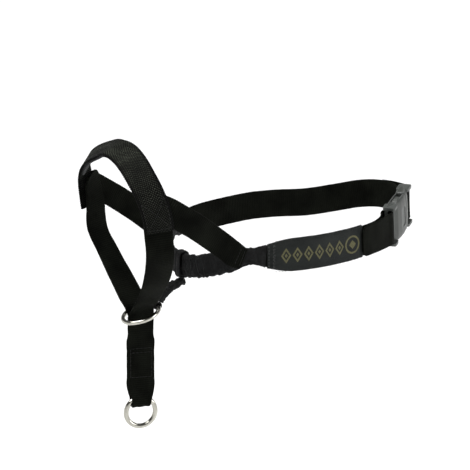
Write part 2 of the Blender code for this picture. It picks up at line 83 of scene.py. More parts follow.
# Rings
SLIP_RING_MEAN_R = 14.75
SLIP_RING_WIRE_R = 1.75
SLIP_RING_CENTRE = (0.0, 19.9, -131.8)
SLIP_RING_NORMAL = (0.0, 0.32, -0.95)
LEAD_RING_MEAN_R = 12.0
LEAD_RING_WIRE_R = 2.0

# Lead tab, turned a little about the vertical
TAB_W = (0.276, 0.961, 0.0)
TAB_N = (0.961, -0.276, 0.0)
TAB_HINGE = (0.0, 19.2, -152.0)
TAB_HALF_GAP = 1.2
TAB_FOLD = (0.0, 18.2, -203.6)
TAB_FOLD_R = 4.8
TAB_FOLD_WIDTH = 15.0

# Side-release buckle, in its own frame: u along, w across, h outwards
BUCKLE_ROW = 9
BUCKLE_LIFT = 5.6
BUCKLE_RISE = 0.21
BAR_U = 24.0
BAR_H = -2.6
BAR_WRAP_R = 3.8
SLOT_HALF_W = 14.7
LATCH_HALF_H = 2.2
GUIDE_HALF_W = 3.0
LUG_W = (14.9, 17.3)
LUG_H = (-6.0, 4.7)
WINDOW_U = (-15.2, 1.8)
BUCKLE_SIDES = ((1, "upper"), (-1, "lower"))
# Sections of its two bodies: u, half width, middle height and half height
SOCKET_BODY = [
    (-26.0, 16.2, -2.8, 1.4), (-25.2, 17.0, -2.7, 1.6), (-22.2, 17.5, -2.4, 1.6),
    (-18.4, 17.9, -1.7, 3.2), (-14.0, 18.2, -0.9, 4.7), (-7.0, 18.2, -0.3, 5.4),
    (0.0, 18.1, 0.0, 5.6), (4.6, 17.8, 0.0, 5.4), (5.7, 17.2, 0.0, 4.9),
]
PLUG_BODY = [
    (6.0, 17.2, 0.0, 4.9), (7.2, 17.8, 0.0, 5.3), (12.0, 18.0, -0.6, 5.2), (16.5, 17.9, -1.4, 4.2),
    (18.4, 17.8, -1.8, 3.0), (22.2, 17.4, -2.4, 1.6), (25.2, 16.8, -2.7, 1.6), (26.0, 16.0, -2.8, 1.4),
]

# Free ends of the webbing beyond the bars: distance from the buckle's centre, lift and width
TAIL_LEFT = [
    (31.5, 8.2, 27.6), (38.5, 6.0, 27.2), (45.5, 4.3, 26.7), (53.0, 3.2, 26.2),
    (62.0, 2.8, 25.6), (70.0, 3.1, 25.2), (77.0, 3.2, 25.0),
]
TAIL_RIGHT = [
    (31.5, 8.2, 27.4), (38.5, 6.0, 26.7), (45.5, 3.9, 26.0), (53.0, 2.5, 25.5),
    (60.0, 2.0, 25.0),
]

# Name sleeve: distance along the neck loop and width, gathered at the throat end.
# The neck web narrows inside it from NECK_FLAT to its end in the throat sleeve, at THROAT_JOIN.
NAME_WIDTHS = [(22.5, 19.6), (27.0, 21.6), (33.0, 24.4), (40.0, 26.4), (48.0, 27.0)]
NECK_FLAT = 60.0
THROAT_JOIN = (21.0, 17.0)
NAME_WALL = 0.55
NAME_THICK = 3.4

# Throat sleeve and link
THROAT_THICK = 6.0
THROAT_WIDTH = 18.0
LINK_WIDTH = 9.0
LINK_THICK = 5.5


def with_width(width, rows):
    """Strap rows with the same width in each, as their last column."""
    return [(*row, width) for row in rows]


# Strap tables: middle surface, width direction, offset outwards, width
BRIDGE = with_width(NOSE_WIDTH, [
    (0.0, -1.42, 2.97, 0.0, 0.9, 0.43, 0.0),
    (9.0, -0.6, 1.9, 0.12, 0.88, 0.46, 0.0),
    (17.5, -0.3, -0.7, 0.27, 0.84, 0.47, 0.0),
    (27.0, -1.2, -4.2, 0.33, 0.81, 0.49, 0.0),
    (35.0, -2.2, -8.0, 0.38, 0.77, 0.51, 0.0),
    (43.0, -2.4, -13.8, 0.42, 0.72, 0.55, 0.0),
    (48.5, -1.4, -20.0, 0.46, 0.7, 0.55, 0.0),
    (52.6, 1.2, -30.0, 0.47, 0.78, 0.4, 0.0),
    (54.2, 4.3, -43.0, 0.42, 0.86, 0.3, 0.0),
    (53.6, 6.0, -53.0, 0.36, 0.9, 0.24, 0.0),
])
SIDE = with_width(NOSE_WIDTH, [
    (50.4, -0.4, -24.0, 0.47, 0.73, 0.49, -6.3),
    (53.1, 2.0, -33.0, 0.47, 0.8, 0.38, -6.3),
    (54.2, 4.6, -44.5, 0.42, 0.86, 0.3, -6.0),
    (53.5, 6.2, -54.2, 0.35, 0.91, 0.22, -5.4),
    (52.1, 7.4, -61.8, 0.3, 0.94, 0.12, -3.2),
    (49.7, 8.8, -70.1, 0.27, 0.96, 0.02, -1.0),
    (46.5, 10.3, -76.6, 0.27, 0.96, -0.03, -0.1),
    (41.8, 12.3, -84.1, 0.26, 0.96, 0.0, 0.0),
    (32.2, 15.1, -97.9, 0.23, 0.97, 0.08, 0.0),
    (21.5, 17.0, -110.1, 0.14, 0.98, 0.11, 0.0),
    (11.5, 18.1, -120.6, 0.11, 0.99, 0.12, 0.0),
]) + [(4.6, 18.5, -127.2, 0.09, 0.99, 0.1, 0.0, STRAND_WIDTH)]
STRANDS = [(-133.0, 2.0), (-139.0, 1.3), (-145.0, TAB_HALF_GAP), (-150.0, TAB_HALF_GAP)]
CHEEK = with_width(CHEEK_WIDTH, [
    (54.2, 3.5, -33.4, 0.26, 0.39, 0.88, -3.5),
    (58.4, 11.6, -37.6, 0.26, 0.39, 0.88, -3.5),
    (59.4, 22.3, -43.8, 0.15, 0.43, 0.88, -2.2),
    (57.9, 36.5, -52.9, 0.03, 0.48, 0.87, -0.4),
    (56.8, 49.5, -62.3, 0.0, 0.5, 0.86, 0.0),
    (57.2, 61.5, -71.6, -0.05, 0.48, 0.87, 0.0),
    (56.6, 70.5, -78.9, -0.08, 0.4, 0.9, 1.0),
]) + [(56.0, 77.5, -83.4, -0.1, 0.3, 0.95, 2.6, 17.0)]
THROAT = [
    (0.0, 58.5, -97.1, 0.0, 0.05, 1.0, 0.0, THROAT_WIDTH),
    (15.0, 59.5, -95.9, 0.0, 0.05, 1.0, 0.0, THROAT_WIDTH),
    (29.0, 63.5, -92.6, 0.0, 0.05, 1.0, 0.0, THROAT_WIDTH),
    (41.0, 70.0, -88.6, 0.0, 0.03, 1.0, 0.0, THROAT_WIDTH),
    (50.0, 78.0, -84.6, 0.0, 0.0, 1.0, 0.0, 17.0),
    (55.5, 85.0, -83.0, 0.0, -0.04, 1.0, 0.0, 13.0),
    (58.4, 88.9, -82.6, 0.0, -0.06, 1.0, 0.0, 14.5),
    (60.4, 91.9, -82.5, 0.0, -0.065, 1.0, 0.0, 16.5),
]
LINK = [(36.2, -124.4), (39.2, -120.6), (43.3, -117.2), (48.0, -114.4), (53.0, -112.7), (58.5, -112.1)]

# Camera: azimuth, elevation and distance, aimed at the middle of the halter
AIM = (0.0, 0.1095, -0.0806)
CAMERA_PLACE = (56.0, 14.0, 1.17)
CAMERA_LENS = 110.0

# Studio lamps: azimuth, elevation and distance, size in metres and power in watts
LAMPS = {
    "key": (25.0, 50.0, 1.5, 0.7, 6.0),
    "fill": (128.0, 14.0, 1.5, 0.8, 12.0),
    "rim": (200.0, 45.0, 1.6, 0.8, 4.0),
}
SUN_POWER = 3.5
SUN_SPREAD = 40.0
SUN_TILT = (24.0, -14.0)
# Surroundings, as heights and brightnesses: a white band at the horizon and a faint glow above
HORIZON = (0.16, 0.34, 1.04, 0.06)
ZENITH = (0.34, 0.95, 0.0, 0.16)
FLOOR_Z = -0.75
FLOOR_HALF = 45.0


# Curves


def vec(*values):
    return np.array(values, float)


def unit(v):
    """The direction of a vector, or of each row of an array."""
    v = np.asarray(v, float)
    return v / np.linalg.norm(v, axis=-1)[..., None]


def bell(x, width):
    return np.exp(-((x / width) ** 2))


def circle(count):
    """Angles evenly spaced round a circle."""
    return 2 * pi * np.arange(count) / count


def adjust(thing, **settings):
    for key, value in settings.items():
        setattr(thing, key, value)
    return thing


def spline(rows):
    """A smooth curve through the rows, with SPLINE_STEPS steps in each span."""
    rows = np.asarray(rows, float)
    steps = np.linalg.norm(np.diff(rows[:, :3], axis=0), axis=1)
    slope = np.zeros_like(rows)
    for i in range(1, len(rows) - 1):
        before = (rows[i] - rows[i - 1]) / steps[i - 1]
        after = (rows[i + 1] - rows[i]) / steps[i]
        slope[i] = (before * steps[i] + after * steps[i - 1]) / (steps[i] + steps[i - 1])
    slope[0] = 1.5 * (rows[1] - rows[0]) / steps[0] - 0.5 * slope[1]
    slope[-1] = 1.5 * (rows[-1] - rows[-2]) / steps[-1] - 0.5 * slope[-2]
    out = []
    for i, length in enumerate(steps):
        for k in range(SPLINE_STEPS):
            s = k / SPLINE_STEPS
            out.append((2 * s**3 - 3 * s**2 + 1) * rows[i] + (s**3 - 2 * s**2 + s) * length * slope[i]
                       + (3 * s**2 - 2 * s**3) * rows[i + 1] + (s**3 - s**2) * length * slope[i + 1])
    out.append(rows[-1])
    return np.array(out)


def distances(points):
    return np.concatenate([[0.0], np.cumsum(np.linalg.norm(np.diff(points, axis=0), axis=1))])


class Strap:
    """The middle surface of a flat strap: its point, width and outward directions at any distance."""

    def __init__(self, rows, closed=False):
        if closed:
            curve = np.array([*rows, rows[0]], float)
            ahead = np.roll(curve[:-1, :3], -1, axis=0) - np.roll(curve[:-1, :3], 1, axis=0)
            ahead = unit(np.vstack([ahead, ahead[:1]]))
        else:
            curve = spline(rows)
            ahead = unit(np.gradient(curve[:, :3], axis=0))
        wide = unit(curve[:, 3:6] - np.sum(curve[:, 3:6] * ahead, axis=1)[:, None] * ahead)
        out = np.cross(ahead, wide)
        points = curve[:, :3] + out * curve[:, 6:7]
        self.table = np.hstack([points, wide, out, curve[:, 7:8]])
        self.closed = closed
        self.dist = distances(points)
        self.length = self.dist[-1]

    def rows(self, at):
        at = np.asarray(at, float)
        found = np.stack([np.interp(at, self.dist, self.table[:, k]) for k in range(10)], axis=-1)
        return found[..., :3], unit(found[..., 3:6]), unit(found[..., 6:9]), found[..., 9]

    def place(self, at, across, height):
        """Points at distances along, across and out of the strap's middle surface."""
        middle, wide, out, _ = self.rows(at)
        return middle + wide * np.asarray(across)[..., None] + out * np.asarray(height)[..., None]


# Noise


def lattice(x, y, seed):
    """Smooth noise between 0 and 1 over two numbers, with cells one unit across."""
    cells = 97
    grid = np.random.RandomState(seed).rand(cells, cells)
    x, y = np.broadcast_arrays(np.asarray(x, float), np.asarray(y, float))
    ix, iy = np.floor(x).astype(int), np.floor(y).astype(int)
    fx, fy = x - ix, y - iy
    fx, fy = fx * fx * (3 - 2 * fx), fy * fy * (3 - 2 * fy)
    ix, iy, jx, jy = ix % cells, iy % cells, (ix + 1) % cells, (iy + 1) % cells
    top = grid[ix, iy] * (1 - fx) + grid[jx, iy] * fx
    low = grid[ix, jy] * (1 - fx) + grid[jx, jy] * fx
    return top * (1 - fy) + low * fy


def wobble(x, pitch, seed):
    """Slow variation along a strap, between -1 and 1."""
    return 2 * (0.65 * lattice(x / pitch, 0.5, seed) + 0.35 * lattice(x / pitch * 2.3, 7.5, seed)) - 1


# Meshes


def add_object(name, data):
    obj = bpy.data.objects.new(name, data)
    SCENE.collection.objects.link(obj)
    return obj


def face_outwards(bm):
    bmesh.ops.recalc_face_normals(bm, faces=bm.faces)
    if bm.calc_volume(signed=True) < 0:
        bmesh.ops.reverse_faces(bm, faces=bm.faces)


def web_object(name, points, faces, web, sharp=None):
    """A smooth closed mesh of points in millimetres, each with its place on the strap."""
    mesh = bpy.data.meshes.new(name)
    mesh.from_pydata((np.asarray(points) * MM).tolist(), [], faces)
    layer = mesh.attributes.new("web", "FLOAT_VECTOR", "POINT")
    layer.data.foreach_set("vector", np.asarray(web, np.float32).ravel())
    bm = bmesh.new()
    bm.from_mesh(mesh)
    face_outwards(bm)
    bm.to_mesh(mesh)
    bm.free()
    mesh.shade_smooth()
    if sharp:
        mesh.set_sharp_from_angle(angle=radians(sharp))
    return add_object(name, mesh)


def band(a, b, around, turn=False):
    """Faces between two rings of points, numbered from a and from b."""
    quads = [(a + k, a + (k + 1) % around, b + (k + 1) % around, b + k) for k in range(around)]
    return [quad[::-1] for quad in quads] if turn else quads


def wall(first, rows, around, closed=False, turn=False):
    """Faces of a tube through rings of points, the first of which are numbered from first."""
    spans = range(rows if closed else rows - 1)
    return [quad for i in spans
            for quad in band(first + i * around, first + (i + 1) % rows * around, around, turn)]


def skin(name, rings, web, closed=False, inner=None, paired=False):
    """A closed mesh through rings of points, capped, or joined to an inner skin at its ends.

    web holds each point's distances along and across the strap and the face that it is on.
    """
    rows, around = rings.shape[:2]
    points = rings.reshape(-1, 3)
    values = np.stack(np.broadcast_arrays(*web), axis=-1).reshape(-1, 3)
    ends = ((0, True), (rows - 1, False))
    faces = wall(0, rows, around, closed)
    if inner is not None:
        faces += wall(len(points), rows, around, closed, turn=True)
        for i, turn in ends:
            faces += band(i * around, len(points) + i * around, around, turn)
        points = np.vstack([points, inner.reshape(-1, 3)])
        values = np.vstack([values, values])
    elif not closed:
        for i, turn in ends:
            a = i * around
            if paired:
                half = around // 2
                caps = [(a + k, a + k + 1, a + (around - k - 1) % around, a + (around - k) % around)
                        for k in range(1, half - 1)]
                caps += [(a, a + 1, a + around - 1), (a + half - 1, a + half, a + half + 1)]
            else:
                caps = [tuple(range(a, a + around))]
            faces.extend(c[::-1] if turn else c for c in caps)
    return web_object(name, points, faces, values, sharp=50.0)


def flat_section(half_count):
    """Positions across a strap from one edge to the other on top, and back underneath."""
    across = np.sin(np.linspace(pi / 2, -pi / 2, half_count + 1))
    share = np.concatenate([across, across[-2:0:-1]])
    face = np.concatenate([[0.0], np.ones(half_count - 1), [0.0], -np.ones(half_count - 1)])
    return share, face


def ribbon(name, strap, thick=WEB_THICK, step=0.8, edge=None, lift=None, relief=None, corners=(0.0, 0.0),
           hole=None, across=18, bead=0.08):
    """A woven strap with round selvedges.

    edge(u, side) widens it, lift(u, x) moves both faces and relief(u, x) swells them, in millimetres;
    corners are the radii of its two ends' corners, and hole is the wall of a tubular sleeve.
    """
    u = np.linspace(0.0, strap.length, max(3, int(round(strap.length / step))) + 1)
    if strap.closed:
        u = u[:-1]
    if corners[0]:
        u = np.concatenate([[u[0], u[0] + 0.12, u[0] + 0.4], u[1:]])
    if corners[1]:
        u = np.concatenate([u[:-1], [u[-1] - 0.4, u[-1] - 0.12, u[-1]]])
    width = strap.rows(u)[3]
    share, face = flat_section(across)
    half = (width / 2)[:, None] * np.ones(len(share))
    uu = u[:, None] * np.ones(len(share))
    if edge:
        half = half + edge(uu, np.sign(share)[None, :]) * np.abs(share)[None, :] ** 6
    for radius, gone in ((corners[0], u - u[0]), (corners[1], u[-1] - u)):
        if radius:
            near = np.clip(1 - gone / radius, 0, 1)
            half = half - (radius * (1 - np.sqrt(1 - near**2)))[:, None]
    x = half * share
    tall = thick / 2
    from_edge = half - np.abs(x)
    inside = np.clip(from_edge / (1.4 * tall), 0, 1)
    profile = tall * np.sqrt(1 - (1 - inside) ** 2)
    profile = profile + bead * bell(from_edge - 1.3, 0.6) * inside
    if relief:
        profile = profile + relief(uu, x) * inside
    if not strap.closed:
        fade = np.clip(np.minimum(u - u[0], u[-1] - u) / 0.7, 0, 1)
        profile = profile * (0.72 + 0.28 * np.sqrt(fade))[:, None]
    raise_by = lift(uu, x) if lift else 0.0
    rings = strap.place(u[:, None], x, face * profile + raise_by)
    inner = None
    if hole:
        slim = x * (1 - hole / np.maximum(half, 1.0))
        inner = strap.place(u[:, None], slim, face * np.maximum(profile - hole, 0.0) + raise_by)
    return skin(name, rings, (uu, x, face), strap.closed, inner, paired=not hole)


def gathered(name, strap, half_thick, depth, pitch, seed, step=0.5, around=56, fill=None):
    """A fabric tube gathered along its length, with folds of the given depth across it."""
    u = np.linspace(0.0, strap.length, max(3, int(round(strap.length / step))) + 1)
    width = strap.rows(u)[3]
    a = circle(around)
    c, s = np.cos(a), np.sin(a)
    face = np.sign(s) * np.abs(s) ** 0.8
    uu = u[:, None] * np.ones(around)
    slant = 0.45 * np.sin(a + seed)[None, :] + 0.5 * wobble(uu, 9.0, seed + 3)
    around_at = (2.2 * c + 3.0)[None, :]
    first = lattice(uu / pitch + slant, around_at + 0.7 * s[None, :], seed)
    second = lattice(uu / (0.46 * pitch) - slant, around_at * 1.6, seed + 1)
    fold = 1 - np.abs(2 * first - 1) ** 0.8
    swell = depth * (1.5 * (fold - 0.5) + 0.55 * (second - 0.5))
    body = half_thick * (fill(u) if fill else np.ones_like(u))
    drift = depth * 0.5 * wobble(u, 2.4 * pitch, seed + 5)
    x = ((width / 2)[:, None] + 0.9 * swell) * np.sign(c) * np.abs(c) ** 0.62 + drift[:, None]
    height = (body[:, None] + swell * np.clip(body / half_thick, 0.3, 1)[:, None]) * face
    return skin(name, strap.place(u[:, None], x, height), (uu, x, face))


def wire_ring(name, centre, normal, mean_r, wire_r, weld_at):
    """A round wire bent into a ring and welded, with the weld's bead at an angle."""
    normal = unit(normal)
    side = unit(np.cross(normal, (0.0, 0.0, 1.0) if abs(normal[2]) < 0.9 else (1.0, 0.0, 0.0)))
    other = np.cross(normal, side)
    a, b = circle(200), circle(28)
    off = (a - weld_at + pi) % (2 * pi) - pi
    along = off * mean_r
    bead = wire_r * (0.06 * bell(along, 0.9) - 0.05 * bell(along, 0.22))
    spoke = np.cos(a)[:, None] * side + np.sin(a)[:, None] * other
    uneven = 0.04 * wobble(a * mean_r, 9.0, 4)
    thick = (wire_r + bead + uneven * 0.5)[:, None]
    reach = (mean_r + uneven)[:, None] + thick * np.cos(b)
    rings = vec(*centre) + spoke[:, None] * reach[..., None] + normal * (thick * np.sin(b))[..., None]
    return skin(name, rings, ((a * mean_r)[:, None], b * wire_r, 0.0), closed=True)


def stitches(name, strap, lines, height, length=2.3, gap=0.55, radius=0.24):
    """Rows of sewn thread: each stitch rises from the web and dips back into it."""
    t = np.linspace(0, 1, 7)
    around = 8
    points, faces, values = [], [], []
    for (u0, x0), (u1, x1) in lines:
        run = hypot(u1 - u0, x1 - x0)
        count = max(1, int((run + gap) / (length + gap)))
        pitch = (run + gap) / count
        for i in range(count):
            low, high = i * pitch / run, (i * pitch + pitch - gap) / run
            s = low + (high - low) * t
            at, side = u0 + (u1 - u0) * s, x0 + (x1 - x0) * s
            rise = height + 0.3 * np.sin(pi * t) ** 0.7 - 0.22
            line = strap.place(at, side, rise)
            out = strap.rows(at)[2]
            cross = np.cross(unit(np.gradient(line, axis=0)), out)
            thick = radius * (0.45 + 0.55 * np.sin(pi * t) ** 0.5)
            first = len(points)
            for k in range(len(t)):
                for b in circle(around):
                    points.append(line[k] + thick[k] * (cos(b) * cross[k] + sin(b) * out[k]))
                    values.append((at[k] + side[k], b, 1.0))
            faces += wall(first, len(t), around)
            last = len(points)
            faces += [tuple(range(first + around - 1, first - 1, -1)), tuple(range(last - around, last))]
    return web_object(name, points, faces, values)


# Materials


def math_node(operation):
    return lambda value, *others: value.paint.calc(operation, value, *others)


class Value:
    """A number that a material's nodes work out. Python's operators on it add Math nodes."""

    __add__ = math_node("ADD")
    __sub__ = math_node("SUBTRACT")
    __mul__ = math_node("MULTIPLY")
    __truediv__ = math_node("DIVIDE")
    __abs__ = math_node("ABSOLUTE")
    __lt__ = math_node("LESS_THAN")
    __gt__ = math_node("GREATER_THAN")

    def __init__(self, paint, socket):
        self.paint = paint
        self.socket = socket


class Paint:
    """A material under construction, with short calls for its nodes."""

    def __init__(self, name, specular=0.5, sheen=(0.0, 0.5), rough=0.6, metal=0.0):
        self.mat = bpy.data.materials.new(name)
        self.mat.use_nodes = True
        self.tree = self.mat.node_tree
        self.shader = self.tree.nodes["Principled BSDF"]
        for key, value in (("Roughness", rough), ("Metallic", metal), ("Specular IOR Level", specular),
                           ("Sheen Weight", sheen[0]), ("Sheen Roughness", sheen[1])):
            self.shader.inputs[key].default_value = value

    def put(self, socket, value):
        if isinstance(value, Value):
            value = value.socket
        if isinstance(value, bpy.types.NodeSocket):
            self.tree.links.new(value, socket)
        else:
            socket.default_value = value

    def node(self, kind, inputs=None, **settings):
        node = adjust(self.tree.nodes.new("ShaderNode" + kind), **settings)
        for key, value in (inputs or {}).items():
            self.put(node.inputs[key], value)
        return node

    def calc(self, operation, *values):
        node = self.node("Math", dict(enumerate(values)), operation=operation)
        return Value(self, node.outputs[0])

    def web(self):
        """Distances along and across the strap, in millimetres, and which face it is."""
        split = self.node("SeparateXYZ", {0: self.node("Attribute", attribute_name="web").outputs["Vector"]})
        return [Value(self, output) for output in split.outputs]

    def noise(self, scale, detail=3.0, rough=0.5):
        coords = self.node("TexCoord").outputs["Object"]
        made = self.node("TexNoise", {"Vector": coords, "Scale": scale, "Detail": detail, "Roughness": rough})
        return Value(self, made.outputs["Fac"])

    def span(self, value, low, high, to_low=0.0, to_high=1.0):
        node = self.node("MapRange", {"Value": value, "From Min": low, "From Max": high,
                                      "To Min": to_low, "To Max": to_high})
        return Value(self, node.outputs["Result"])

    def mix(self, factor, low, high):
        """A colour between two, each given as red, green and blue or as an earlier mix."""
        low, high = ((*c, 1.0) if isinstance(c, tuple) else c for c in (low, high))
        return self.node("Mix", {"Factor": factor, "A": low, "B": high}, data_type="RGBA").outputs["Result"]

    def lobe(self, value, pitch, power=0.6, shift=0.0):
        """A row of round ridges with the given pitch, 0 between them and 1 on top."""
        wave = self.calc("SINE", self.calc("FRACT", value / pitch + shift) * pi)
        return self.calc("POWER", self.calc("MAXIMUM", wave, 0.0), power)

    def colour(self, value):
        self.put(self.shader.inputs["Base Color"], value)

    def rough(self, value):
        self.put(self.shader.inputs["Roughness"], value)

    def bump(self, height, distance, strength, below=None):
        node = self.node("Bump", {"Height": height, "Distance": distance, "Strength": strength})
        if below is not None:
            self.put(node.inputs["Normal"], below)
        self.put(self.shader.inputs["Normal"], node.outputs["Normal"])
        return node.outputs["Normal"]


def brick_weave(p, u, v, along, across):
    """Warp floats laid like bricks: long ridges with every second row shifted."""
    row = p.calc("FLOOR", v / across)
    return p.lobe(u, along, shift=p.calc("MODULO", row, 2.0) * 0.5) * p.lobe(v, across)


def webbing_material():
    """Black nylon webbing: fine warp floats, their hollows painted darker as painted shade, with a little
    dust on the high threads.
    """
    p = Paint("webbing_weave", specular=0.014, sheen=(0.002, 0.35))
    u, v, _ = p.web()
    column = p.calc("PINGPONG", v + 40 * WARP_PITCH, WARP_PITCH)
    weave = p.lobe(u + column * 0.75, 1.7, 0.7) * p.lobe(v, WARP_PITCH, 0.5)
    fine = p.noise(2600.0, 2.0)
    # Painted shade and highlight: the weave's hollows are painted darker and its floats lighter, the contrast
    # varied at random.
    painted_shade_and_highlight = p.span(weave * p.noise(55.0, 2.0), 0.12, 0.62)
    base = p.mix(painted_shade_and_highlight, (0.0011, 0.0012, 0.0009), (0.0105, 0.0118, 0.0088))
    dust = p.span(fine * p.noise(420.0), 0.36, 0.52)
    p.colour(p.mix(dust * 0.2, base, (0.019, 0.02, 0.017)))
    p.rough(p.span(weave + fine, 0.0, 2.0, 0.72, 0.44))
    p.bump(weave, 0.00022, 0.9, p.bump(fine, 0.00008, 0.5))
    return p.mat


def ribbed_material(length):
    """Herringbone webbing of the noseband: slanting ribs that turn at each warp stripe, painted dark between
    the ribs as painted shade and lighter on them as painted highlights.
    """
    p = Paint("ribbed_webbing_weave", specular=0.05, sheen=(0.01, 0.5))
    u, v, _ = p.web()
    zigzag = p.calc("PINGPONG", v + 4 * RIB_STRIPE, RIB_STRIPE)
    ribs = p.lobe(u + zigzag * RIB_SLOPE + p.noise(260.0, 2.0) * 0.9, RIB_PITCH, 1.7)
    threads = p.lobe(u - zigzag * 1.3, 2.3, 1.6)
    fine = p.noise(2400.0, 2.0)
    height = ribs * threads + ribs * 0.12
    # Painted highlight: the ribs' tops are painted lighter in random patches, fading towards the strap's
    # edges; between the ribs it is painted dark, as painted shade.
    painted_highlight_patches = p.span(p.noise(70.0, 2.0) + p.noise(330.0) * 0.6, 0.6, 1.05, 0.45, 1.0)
    middle = p.span(abs(v), 8.4, 10.2, 1.0, 0.25)
    from_end = p.calc("MINIMUM", u, p.calc("SUBTRACT", length, u))
    # Painted highlight, strongest over the top of the nose and fading towards the strap's ends.
    crown_highlight = p.span(from_end, 8.0, 78.0, 0.3, 1.0)
    painted_shade_and_highlight = p.span(height * painted_highlight_patches * middle, 0.18, 0.95)
    p.colour(p.mix(painted_shade_and_highlight * crown_highlight, (0.0005, 0.0006, 0.0004), (0.074, 0.081, 0.062)))
    p.rough(p.span(ribs + fine, 0.0, 2.0, 0.85, 0.5))
    p.bump(height, 0.00028, 1.0, p.bump(fine, 0.0001, 0.5))
    return p.mat


def lining_material():
    """Soft knitted lining with a short nap."""
    p = Paint("lining_knit", specular=0.08, sheen=(0.1, 0.6))
    u, v, _ = p.web()
    knit = brick_weave(p, v, u, 1.3, 0.9)
    fuzz = p.noise(1800.0, 4.0, 0.7)
    shade = p.span((knit + fuzz) * p.noise(90.0), 0.2, 0.9)
    p.colour(p.mix(shade, (0.004, 0.0042, 0.0045), (0.02, 0.0205, 0.022)))
    p.rough(p.span(fuzz, 0.3, 0.7, 0.95, 0.8))
    p.bump(knit + fuzz * 0.8, 0.00025, 0.8)
    return p.mat


def sleeve_material():
    """Thin woven sleeve fabric, creased where it is gathered, with painted shade in the hollows of its weave
    and creases.
    """
    p = Paint("gathered_fabric", specular=0.12, sheen=(0.015, 0.35))
    u, v, _ = p.web()
    weave = brick_weave(p, u, v, 0.7, 0.45)
    crease = p.noise(520.0, 5.0, 0.65)
    # Painted shade: the weave's hollows and the low parts of the creases are painted darker, the contrast
    # varied at random.
    painted_shade_and_highlight = p.span((weave + crease) * p.noise(110.0), 0.3, 1.0)
    p.colour(p.mix(painted_shade_and_highlight, (0.001, 0.0011, 0.0011), (0.0095, 0.0102, 0.0104)))
    p.rough(p.span(crease + p.noise(2800.0, 2.0), 0.6, 1.4, 0.75, 0.5))
    p.bump(weave, 0.00012, 0.7, p.bump(crease, 0.0006, 0.6))
    return p.mat


def label_material(length):
    """Slate satin ribbon with a woven row of plain lozenges and a ring, in dull gold thread."""
    p = Paint("label_satin", specular=0.1, sheen=(0.015, 0.35))
    u, v, face = p.web()
    weave = brick_weave(p, u, v, 1.1, 0.42)
    first, pitch, count = 10.0, 9.2, 6
    cell = p.calc("FRACT", (u - first) / pitch) * pitch - pitch / 2
    half_long, half_wide = 4.1, 6.2
    lozenge = abs(cell) / half_long + abs(v) / half_wide
    outline = (lozenge < 1.0) * (lozenge > 0.62)
    chain = p.calc("MAXIMUM", outline, lozenge < 0.3) * ((u > first) * (u < first + pitch * count))
    ring_outer, ring_inner, dot, from_hem = 7.4, 5.9, 3.6, 11.5
    du = u - (length - from_hem)
    reach = p.calc("SQRT", du * du + v * v)
    ring = p.calc("MAXIMUM", (reach < ring_outer) * (reach > ring_inner), abs(du) + abs(v) < dot)
    motif = p.calc("MAXIMUM", chain, ring) * (face > 0.5)
    # Painted shade: the hollows of the weave are painted darker, in the gold thread and in the ground alike.
    thread = motif * p.span(weave * p.noise(700.0), 0.05, 0.4, 0.35, 1.0)
    broad = p.noise(60.0, 2.0)
    ground = p.mix(p.span(weave * broad, 0.1, 0.6), (0.005, 0.0063, 0.0062), (0.018, 0.0208, 0.0188))
    p.colour(p.mix(thread, ground, (0.115, 0.108, 0.053)))
    p.rough(p.span(weave + broad, 0.2, 1.6, 0.62, 0.42))
    p.bump(weave + motif * 0.9, 0.00014, 0.8, p.bump(p.noise(240.0, 3.0), 0.0007, 0.35))
    return p.mat


def plastic_material():
    """Moulded acetal: a fine spark-eroded grain, faint flow marks and sharp edges painted lighter."""
    p = Paint("buckle_acetal", specular=0.52)
    grain = p.noise(3200.0, 2.0)
    flow = p.noise(90.0, 3.0)
    speckle = p.span(p.noise(900.0, 4.0, 0.7), 0.52, 0.68)
    edge = p.span(p.node("NewGeometry").outputs["Pointiness"], 0.5, 0.58)
    base = p.mix(flow, (0.016, 0.0185, 0.0155), (0.031, 0.035, 0.03))
    base = p.mix(speckle * 0.25, base, (0.07, 0.078, 0.073))
    # Sharp edges, found by their pointiness, are painted lighter.
    p.colour(p.mix(edge * 0.4, base, (0.07, 0.077, 0.073)))
    p.rough(p.span(grain + flow, 0.6, 1.4, 0.32, 0.46))
    p.bump(grain, 0.00007, 0.7)
    return p.mat


def chrome_material():
    """Bright plated wire with hairline polishing marks and slight clouding."""
    p = Paint("plated_wire", metal=1.0)
    _, v, _ = p.web()
    cloud = p.noise(160.0, 4.0, 0.6)
    hair = p.noise(5200.0, 2.0)
    p.colour(p.mix(p.span(cloud, 0.35, 0.7), (0.48, 0.47, 0.42), (0.3, 0.292, 0.256)))
    p.rough(p.span(cloud + hair, 0.7, 1.35, 0.07, 0.2))
    p.bump(p.lobe(v + cloud * 3.0, 0.35) + hair, 0.00001, 0.5)
    return p.mat


def thread_material(name, dark, light):
    """Bonded sewing thread: two plies twisted round each other."""
    p = Paint(name, specular=0.2, sheen=(0.05, 0.5))
    u, v, _ = p.web()
    twist = p.lobe(u + v * 0.11, 0.35)
    # Painted shade: the grooves between the plies are painted darker, varied at random along the thread.
    p.colour(p.mix(twist * p.span(p.noise(300.0), 0.3, 0.7, 0.6, 1.0), dark, light))
    p.rough(p.span(twist, 0.0, 1.0, 0.7, 0.42))
    p.bump(twist, 0.00009, 0.9)
    return p.mat


def floor_material():
    p = Paint("studio_floor", specular=0.1, rough=0.9)
    p.colour(p.mix(p.noise(1.5, 2.0), (0.9, 0.9, 0.9), (0.93, 0.93, 0.93)))
    return p.mat


# Putting pieces on the frame


def dress(obj, material, replaced=(), body="halter", blend=None):
    """Give a piece its material and fix it to its body, or, given blend, bake its placing into its mesh; hide
    the parts that it replaces.
    """
    obj.data.materials.clear()
    obj.data.materials.append(material)
    if blend:
        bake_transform(obj)
    else:
        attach(obj, body)
    if replaced:
        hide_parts(*replaced)


